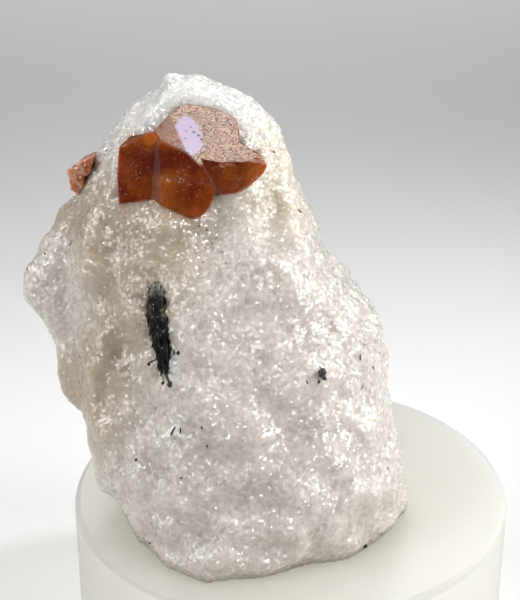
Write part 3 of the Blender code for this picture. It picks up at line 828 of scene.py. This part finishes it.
def base_material(s):
    """Cast acrylic, turned: see-through, with a faint warmth and a satin surface whose fine turning marks
    draw its reflections out. Part of the light spreads inside it, as in a clear block that gathers light."""
    made, tree, shader = new_material(
        "acrylic_cast_satin", s.clear, Roughness=0.3, IOR=1.49, Transmission_Weight=0.5,
        Subsurface_Weight=1.0, Subsurface_Radius=(1.0, 0.99, 0.95), Subsurface_Scale=16 * MM,
        Anisotropic=0.95,
    )
    turned = add(tree, "ShaderNodeTangent", {"direction_type": "RADIAL", "axis": "Z"}).outputs[0]
    tree.links.new(turned, shader.inputs["Tangent"])
    return made


class SPECIMEN_OT_base(bpy.types.Operator):
    """Makes the clear round base"""

    bl_idname = "specimen.base"
    bl_label = "Clear base"

    def execute(self, context):
        s = context.scene.base
        radius = (BASE_HIGH.x - BASE_LOW.x) / 2
        low, high = BASE_LOW.z, BASE_HIGH.z
        profile = [
            (0, low), (radius - s.bevel, low), (radius - 0.3 * s.bevel, low + 0.3 * s.bevel),
            (radius, low + s.bevel), (radius, high - s.bevel),
            (radius - 0.3 * s.bevel, high - 0.3 * s.bevel), (radius - s.bevel, high), (0, high),
        ]
        bm = bmesh.new()
        verts = [bm.verts.new((r, 0, z)) for r, z in profile]
        edges = [bm.edges.new(pair) for pair in zip(verts, verts[1:])]
        bmesh.ops.spin(bm, geom=verts + edges, cent=(0, 0, 0), axis=(0, 0, 1), angle=2 * math.pi,
                       steps=s.sides, use_duplicate=False)
        bmesh.ops.remove_doubles(bm, verts=bm.verts, dist=MERGE)
        bmesh.ops.recalc_face_normals(bm, faces=bm.faces)
        mesh = bpy.data.meshes.new("clear_base")
        bm.to_mesh(mesh)
        bm.free()
        mesh.shade_smooth()
        mesh.set_sharp_from_angle(angle=math.radians(20))
        piece = new_piece("clear_base", mesh)
        finish(piece, base_material(s), "acrylic", "acrylic_base")
        return {"FINISHED"}


# Stage

def add_light(name, place, aim, width, watts, spread, shape="SQUARE"):
    """An area light that faces the aim point. A grid keeps its light within the spread, in degrees."""
    light = bpy.data.lights.new(name, "AREA")
    light.spread = math.radians(spread)
    light.shape = shape
    light.size = width
    light.energy = watts
    lamp = bpy.data.objects.new(name, light)
    lamp.location = place
    lamp.rotation_euler = (Vector(aim) - Vector(place)).to_track_quat("-Z", "Y").to_euler()
    bpy.context.scene.collection.objects.link(lamp)


def add_camera(s):
    """The camera, where the photograph was taken from."""
    data = bpy.data.cameras.new("camera")
    data.lens = s.lens
    data.sensor_width = 36
    data.sensor_fit = "AUTO"
    data.clip_start = 1 * MM
    camera = bpy.data.objects.new("camera", data)
    camera.location = s.camera
    camera.rotation_euler = (math.pi / 2 - s.pitch, 0, 0)
    bpy.context.scene.collection.objects.link(camera)
    bpy.context.scene.camera = camera


def add_paper(s):
    """A flat floor, a quarter round and an upright wall, as one sheet of paper."""
    front, back, top, half_width = -0.6, 0.5, 0.9, 1.2
    bend = 0.25
    floor = -0.1 * MM
    line = [(front, floor), (back, floor)]
    for degrees in range(5, 91, 5):
        a = math.radians(degrees)
        line.append((back + bend * math.sin(a), floor + bend - bend * math.cos(a)))
    line.append((back + bend, top))
    verts = [(x, y, z) for y, z in line for x in (-half_width, half_width)]
    faces = [(2 * i, 2 * i + 1, 2 * i + 3, 2 * i + 2) for i in range(len(line) - 1)]
    mesh = bpy.data.meshes.new("paper_sweep")
    mesh.from_pydata(verts, [], faces)
    mesh.shade_smooth()
    paper = new_piece("paper_sweep", mesh)
    material, _, _ = new_material("paper_matte", s.paper, Roughness=0.9)
    mesh.materials.append(material)


class SPECIMEN_OT_stage(bpy.types.Operator):
    """Makes the paper sweep, the lights and the camera"""

    bl_idname = "specimen.stage"
    bl_label = "Stage"

    def execute(self, context):
        s = context.scene.stage
        add_camera(s)
        add_paper(s)
        world = bpy.data.worlds.new("room")
        context.scene.world = world
        world.use_nodes = True
        room = world.node_tree.nodes["Background"].inputs
        room["Color"].default_value = (0.8, 0.8, 0.8, 1)
        room["Strength"].default_value = 0.05
        add_light("background_softbox", (0.0, 0.4, 0.4), (0, 0.36, 0), 0.3, 1.3, 180)
        add_light("fill_high", (-0.15, -0.03, 0.18), (0, -0.01, 0.02), 0.12, 0.048, 80)
        add_light("fill_low", (-0.19, -0.11, 0.14), (0, 0, 0.02), 0.12, 0.058, 80)
        add_light("side", (0.19, -0.08, 0.12), (0, 0, 0.03), 0.1, 0.09, 80)
        add_light("rear", (0.2, 0.15, 0.13), (0.01, 0, 0.03), 0.1, 0.03, 70)
        add_light("key", (0.19, 0.0, 0.2), (0, -0.01, 0.03), 0.04, 0.045, 70, "DISK")
        context.scene.view_settings.view_transform = "Standard"
        return {"FINISHED"}


class SPECIMEN_PT_panel(bpy.types.Panel):
    """Lists the pieces of the specimen"""

    bl_idname = "SPECIMEN_PT_panel"
    bl_label = "Specimen"
    bl_space_type = "VIEW_3D"
    bl_region_type = "UI"
    bl_category = "Specimen"

    def draw(self, context):
        for operator in OPERATORS:
            self.layout.operator(operator.bl_idname)


SETTINGS = {
    "quartz": QuartzSettings, "crystals": CrystalSettings, "aegirine": AegirineSettings,
    "base": BaseSettings, "stage": StageSettings,
}
OPERATORS = (
    SPECIMEN_OT_stage, SPECIMEN_OT_base, SPECIMEN_OT_crystals, SPECIMEN_OT_aegirine, SPECIMEN_OT_quartz,
    SPECIMEN_OT_specks,
)
CLASSES = (*SETTINGS.values(), *OPERATORS, SPECIMEN_PT_panel)


def register():
    for cls in CLASSES:
        bpy.utils.register_class(cls)
    for name, group in SETTINGS.items():
        setattr(bpy.types.Scene, name, PointerProperty(type=group))


def unregister():
    for name in SETTINGS:
        delattr(bpy.types.Scene, name)
    for cls in reversed(CLASSES):
        bpy.utils.unregister_class(cls)


def main():
    """Makes every piece."""
    register()
    bpy.ops.specimen.stage()
    bpy.ops.specimen.base()
    bpy.ops.specimen.crystals()
    bpy.ops.specimen.aegirine()
    bpy.ops.specimen.quartz()
    bpy.ops.specimen.specks()
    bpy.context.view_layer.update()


if __name__ == "__main__":
    main()
